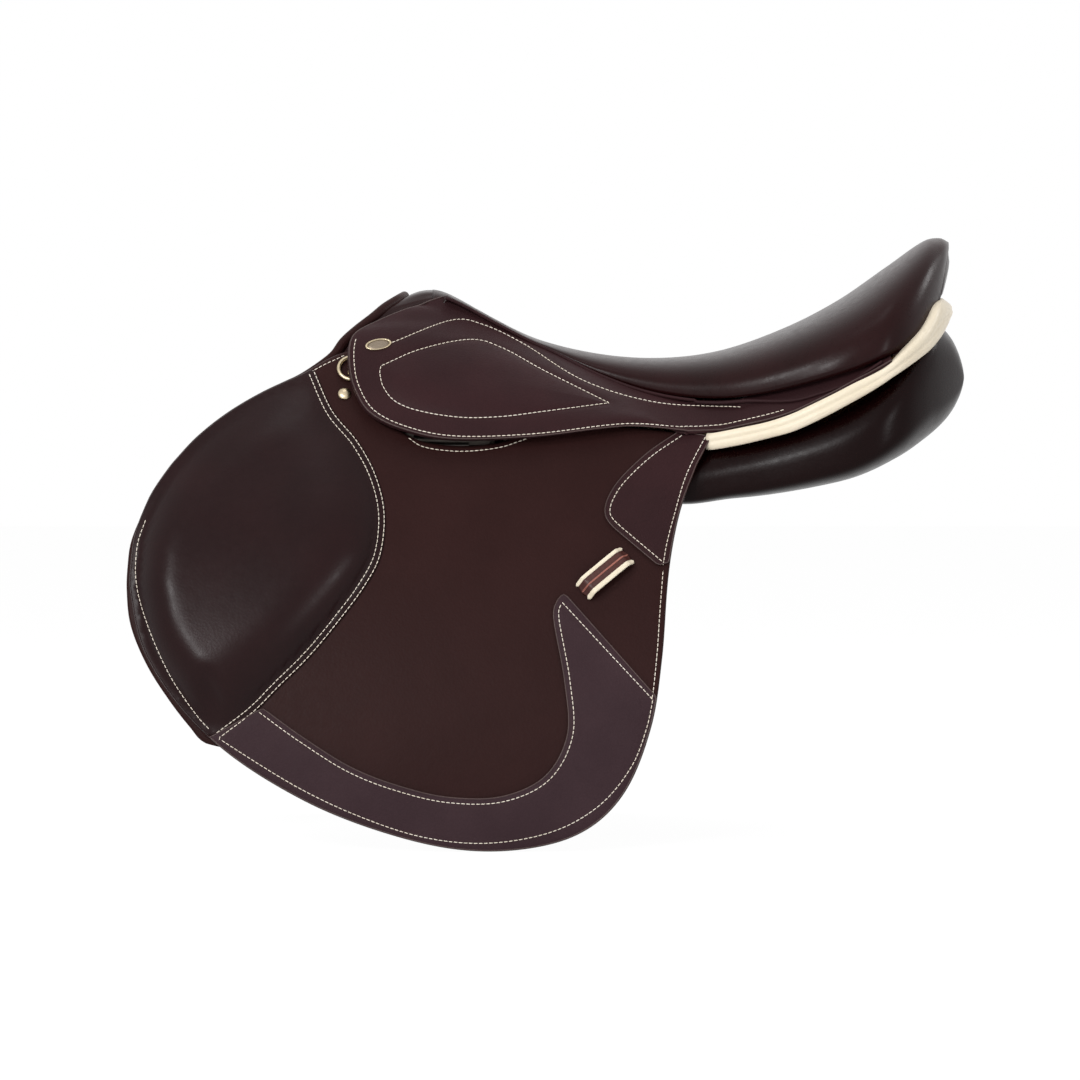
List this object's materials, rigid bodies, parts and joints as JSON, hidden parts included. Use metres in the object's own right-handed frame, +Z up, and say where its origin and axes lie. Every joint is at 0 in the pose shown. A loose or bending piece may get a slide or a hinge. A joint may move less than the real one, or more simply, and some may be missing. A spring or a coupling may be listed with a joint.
{
  "type": "jumping saddle",
  "caption": "Jumping saddle on a spring tree, with padded forward flaps and skirts that lift, girth straps, stirrup bars with catches and front dees.",
  "frame": {"origin": "on the centre plane, level with the panels' bearing line on the horse's back", "axes": "+X from pommel to cantle, +Y to the rider's right, +Z up"},
  "size_m": [0.6249, 0.431, 0.447],
  "materials": {
    "seat_leather": "smooth soft leather, satin",
    "flap_leather": "grained chocolate leather, satin",
    "skirt_leather": "smooth leather with a soft shine",
    "panel_leather": "soft leather, satin",
    "strap_leather": "firm strap leather",
    "cream_leather": "smooth cream leather",
    "brass": "pale polished brass",
    "steel": "plain forged steel",
    "tree_wood": "laminated beech",
    "webbing": "woven web",
    "foam": "foam with a cloth skin"
  },
  "bodies": {
    "body": {"tree_head": "tree_wood", "tree_rails": "tree_wood", "head_plate": "steel", "bar_rivets": "steel", "seat_web": "webbing", "girth_webs": "webbing", "seat_foam": "foam", "seat_cover": "seat_leather", "pommel_cover": "skirt_leather", "cantle_back": "skirt_leather", "cantle_stripe": "cream_leather", "front_facing": "panel_leather", "front_lip": "flap_leather", "gullet_lining": "panel_leather", "panel_left": "panel_leather", "panel_right": "panel_leather", "sweat_flap_left": "panel_leather", "sweat_flap_right": "panel_leather", "flap_top_left": "flap_leather", "flap_top_right": "flap_leather", "knee_roll_top_left": "flap_leather", "knee_roll_top_right": "flap_leather", "skirt_tail_left": "skirt_leather", "skirt_tail_right": "skirt_leather", "stirrup_bar_left": "steel", "stirrup_bar_right": "steel", "dee_chape_left": "brass", "dee_chape_right": "brass", "stud_left": "brass", "stud_right": "brass", "catch_pin_left": "steel", "catch_pin_right": "steel"},
    "flap_left": {"flap_left": "flap_leather", "knee_roll_left": "flap_leather", "flap_guard_left": "skirt_leather", "rear_guard_left": "skirt_leather", "keeper_left": "cream_leather"},
    "skirt_left": {"skirt_left": "skirt_leather", "skirt_plate_left": "brass"},
    "dee_left": {"dee_left": "brass"},
    "bar_catch_left": {"bar_catch_left": "steel"},
    "strap_front_left": {"strap_front_left": "strap_leather"},
    "strap_middle_left": {"strap_middle_left": "strap_leather"},
    "strap_rear_left": {"strap_rear_left": "strap_leather"},
    "flap_right": {"flap_right": "flap_leather", "knee_roll_right": "flap_leather", "flap_guard_right": "skirt_leather", "rear_guard_right": "skirt_leather", "keeper_right": "cream_leather"},
    "skirt_right": {"skirt_right": "skirt_leather", "skirt_plate_right": "brass"},
    "dee_right": {"dee_right": "brass"},
    "bar_catch_right": {"bar_catch_right": "steel"},
    "strap_front_right": {"strap_front_right": "strap_leather"},
    "strap_middle_right": {"strap_middle_right": "strap_leather"},
    "strap_rear_right": {"strap_rear_right": "strap_leather"}
  },
  "joints": [
    {"name": "flap_lift_left", "type": "hinge", "parent": "body", "child": "flap_left", "pos_m": [0, -0.14821, 0.03], "axis": [-1, 0, 0], "range_deg": [0, 95]},
    {"name": "skirt_lift_left", "type": "hinge", "parent": "body", "child": "skirt_left", "pos_m": [-0.163, -0.0373, 0.14616], "axis": [-0.8398, 0.3812, 0.3866], "range_deg": [0, 75]},
    {"name": "dee_swing_left", "type": "hinge", "parent": "body", "child": "dee_left", "pos_m": [-0.2175, -0.0941, 0.10135], "axis": [0, 0.5403, 0.8415], "range_deg": [0, 30]},
    {"name": "catch_turn_left", "type": "hinge", "parent": "body", "child": "bar_catch_left", "pos_m": [-0.133, -0.1118, 0.048], "axis": [0, -1, 0], "range_deg": [0, 80]},
    {"name": "strap_front_swing_left", "type": "hinge", "parent": "body", "child": "strap_front_left", "pos_m": [-0.091, -0.13725, 0.0015], "axis": [0, 0.903, -0.4295], "range_deg": [-2.5, 2.5]},
    {"name": "strap_middle_swing_left", "type": "hinge", "parent": "body", "child": "strap_middle_left", "pos_m": [-0.047, -0.13725, 0.0015], "axis": [0, 0.903, -0.4295], "range_deg": [-2.5, 2.5]},
    {"name": "strap_rear_swing_left", "type": "hinge", "parent": "body", "child": "strap_rear_left", "pos_m": [-0.003, -0.13725, 0.0015], "axis": [0, 0.903, -0.4295], "range_deg": [-2.5, 2.5]},
    {"name": "flap_lift_right", "type": "hinge", "parent": "body", "child": "flap_right", "pos_m": [0, 0.14821, 0.03], "axis": [1, 0, 0], "range_deg": [0, 95]},
    {"name": "skirt_lift_right", "type": "hinge", "parent": "body", "child": "skirt_right", "pos_m": [-0.163, 0.0373, 0.14616], "axis": [0.8398, 0.3812, -0.3866], "range_deg": [0, 75]},
    {"name": "dee_swing_right", "type": "hinge", "parent": "body", "child": "dee_right", "pos_m": [-0.2175, 0.0941, 0.10135], "axis": [0, 0.5403, -0.8415], "range_deg": [0, 30]},
    {"name": "catch_turn_right", "type": "hinge", "parent": "body", "child": "bar_catch_right", "pos_m": [-0.133, 0.1118, 0.048], "axis": [0, -1, 0], "range_deg": [0, 80]},
    {"name": "strap_front_swing_right", "type": "hinge", "parent": "body", "child": "strap_front_right", "pos_m": [-0.091, 0.13725, 0.0015], "axis": [0, 0.903, 0.4295], "range_deg": [-2.5, 2.5]},
    {"name": "strap_middle_swing_right", "type": "hinge", "parent": "body", "child": "strap_middle_right", "pos_m": [-0.047, 0.13725, 0.0015], "axis": [0, 0.903, 0.4295], "range_deg": [-2.5, 2.5]},
    {"name": "strap_rear_swing_right", "type": "hinge", "parent": "body", "child": "strap_rear_right", "pos_m": [-0.003, 0.13725, 0.0015], "axis": [0, 0.903, 0.4295], "range_deg": [-2.5, 2.5]}
  ]
}
